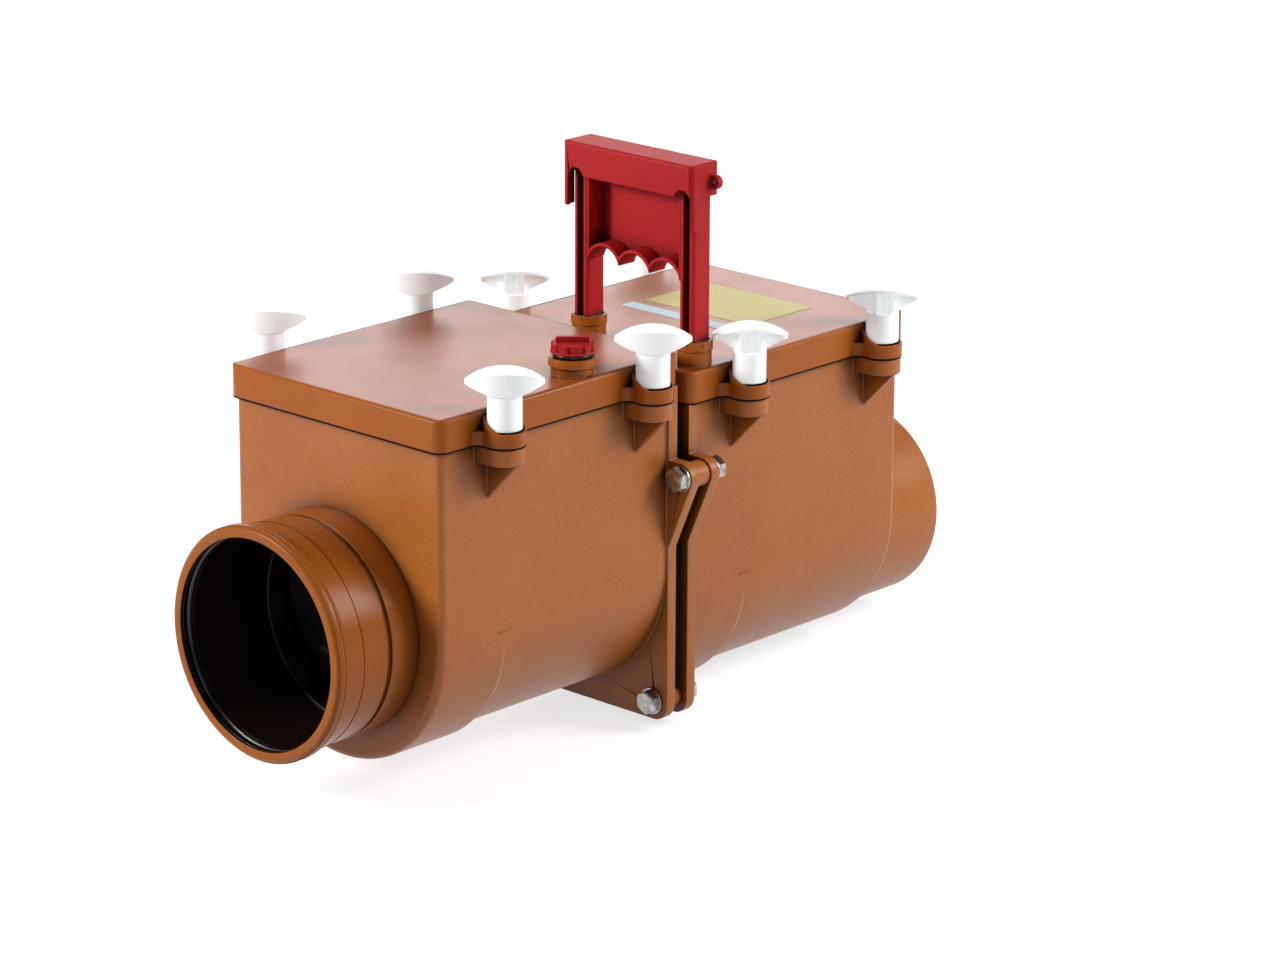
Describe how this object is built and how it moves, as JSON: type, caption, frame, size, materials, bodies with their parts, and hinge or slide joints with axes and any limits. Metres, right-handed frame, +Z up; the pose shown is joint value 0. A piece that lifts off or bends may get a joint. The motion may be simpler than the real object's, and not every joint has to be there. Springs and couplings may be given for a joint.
{
  "type": "backwater valve",
  "caption": "Two-chamber drain backwater valve with hinged flaps, bolted flange joint, lift-off covers on wing screws, a push-down emergency closure handle and a screwed test plug.",
  "frame": {"origin": "centre of the inlet socket's mouth, on the inlet pipe's axis", "axes": "+X along the flow from the inlet socket to the outlet spigot, +Z up towards the covers"},
  "size_m": [0.6885, 0.2938, 0.4414],
  "materials": {
    "pvc": "orange-brown moulded PVC, satin",
    "rubber": "black moulded rubber",
    "zinc_steel": "zinc-plated steel",
    "brass": "turned brass",
    "black_plastic": "black moulded plastic",
    "red_plastic": "red moulded plastic",
    "white_plastic": "white moulded plastic"
  },
  "bodies": {
    "casing": {"inlet_body": "pvc", "inlet_socket": "pvc", "outlet_body": "pvc", "outlet_spigot": "pvc", "joint_gasket": "rubber", "inlet_seal_ring": "rubber", "flange_bolts": "zinc_steel", "flange_washers": "zinc_steel", "flange_nuts": "zinc_steel", "thread_inserts": "brass", "flap_1_pins": "zinc_steel", "flap_2_pins": "zinc_steel"},
    "inlet_cover": {"inlet_cover": "pvc", "inlet_cover_gasket": "rubber"},
    "outlet_cover": {"outlet_cover": "pvc", "outlet_cover_gasket": "rubber", "gland_nuts": "pvc", "gland_seals": "rubber"},
    "flap_1": {"flap_1_plate": "black_plastic", "flap_1_seal": "rubber", "flap_1_retainer": "black_plastic", "flap_1_screws": "zinc_steel"},
    "flap_2": {"flap_2_plate": "black_plastic", "flap_2_seal": "rubber", "flap_2_retainer": "black_plastic", "flap_2_screws": "zinc_steel"},
    "handle": {"emergency_handle": "red_plastic", "lock_foot": "black_plastic", "lock_foot_pin": "zinc_steel"},
    "plug_ring": {"plug_ring": "rubber"},
    "test_plug": {"test_plug": "red_plastic"},
    "wing_screw_1": {"wing_knob_1": "white_plastic", "wing_stud_1": "zinc_steel"},
    "wing_screw_2": {"wing_knob_2": "white_plastic", "wing_stud_2": "zinc_steel"},
    "wing_screw_3": {"wing_knob_3": "white_plastic", "wing_stud_3": "zinc_steel"},
    "wing_screw_4": {"wing_knob_4": "white_plastic", "wing_stud_4": "zinc_steel"},
    "wing_screw_5": {"wing_knob_5": "white_plastic", "wing_stud_5": "zinc_steel"},
    "wing_screw_6": {"wing_knob_6": "white_plastic", "wing_stud_6": "zinc_steel"},
    "wing_screw_7": {"wing_knob_7": "white_plastic", "wing_stud_7": "zinc_steel"},
    "wing_screw_8": {"wing_knob_8": "white_plastic", "wing_stud_8": "zinc_steel"}
  },
  "joints": [
    {"name": "inlet_cover_lift", "type": "slide", "parent": "casing", "child": "inlet_cover", "axis": [0, 0, 1], "range_m": [0, 0.08]},
    {"name": "outlet_cover_lift", "type": "slide", "parent": "casing", "child": "outlet_cover", "axis": [0, 0, 1], "range_m": [0, 0.08]},
    {"name": "flap_1_swing", "type": "hinge", "parent": "casing", "child": "flap_1", "pos_m": [0.10006, 0, 0.0972], "axis": [0, -1, 0], "range_deg": [0, 70]},
    {"name": "flap_2_swing", "type": "hinge", "parent": "casing", "child": "flap_2", "pos_m": [0.36606, 0, 0.0782], "axis": [0, -1, 0], "range_deg": [0, 70]},
    {"name": "handle_push", "type": "slide", "parent": "outlet_cover", "child": "handle", "axis": [0, 0, -1], "range_m": [0, 0.042]},
    {"name": "plug_rise", "type": "slide", "parent": "inlet_cover", "child": "plug_ring", "axis": [0, 0, 1], "range_m": [0, 0.014]},
    {"name": "plug_turn", "type": "hinge", "parent": "plug_ring", "child": "test_plug", "pos_m": [0.24, -0.091, 0.19], "axis": [0, 0, 1], "range_deg": [0, 1445]},
    {"name": "wing_screw_1_turn", "type": "hinge", "parent": "inlet_cover", "child": "wing_screw_1", "pos_m": [0.1335, -0.125, 0.1615], "axis": [0, 0, 1], "continuous": true},
    {"name": "wing_screw_2_turn", "type": "hinge", "parent": "inlet_cover", "child": "wing_screw_2", "pos_m": [0.1335, 0.125, 0.1615], "axis": [0, 0, 1], "continuous": true},
    {"name": "wing_screw_3_turn", "type": "hinge", "parent": "inlet_cover", "child": "wing_screw_3", "pos_m": [0.291, -0.125, 0.1615], "axis": [0, 0, 1], "continuous": true},
    {"name": "wing_screw_4_turn", "type": "hinge", "parent": "inlet_cover", "child": "wing_screw_4", "pos_m": [0.291, 0.125, 0.1615], "axis": [0, 0, 1], "continuous": true},
    {"name": "wing_screw_5_turn", "type": "hinge", "parent": "outlet_cover", "child": "wing_screw_5", "pos_m": [0.3995, -0.125, 0.1425], "axis": [0, 0, 1], "continuous": true},
    {"name": "wing_screw_6_turn", "type": "hinge", "parent": "outlet_cover", "child": "wing_screw_6", "pos_m": [0.3995, 0.125, 0.1425], "axis": [0, 0, 1], "continuous": true},
    {"name": "wing_screw_7_turn", "type": "hinge", "parent": "outlet_cover", "child": "wing_screw_7", "pos_m": [0.557, -0.125, 0.1425], "axis": [0, 0, 1], "continuous": true},
    {"name": "wing_screw_8_turn", "type": "hinge", "parent": "outlet_cover", "child": "wing_screw_8", "pos_m": [0.557, 0.125, 0.1425], "axis": [0, 0, 1], "continuous": true}
  ],
  "couplings": [
    {"joint": "plug_turn", "follows": "plug_rise", "rad_per_m": 1795.2}
  ]
}
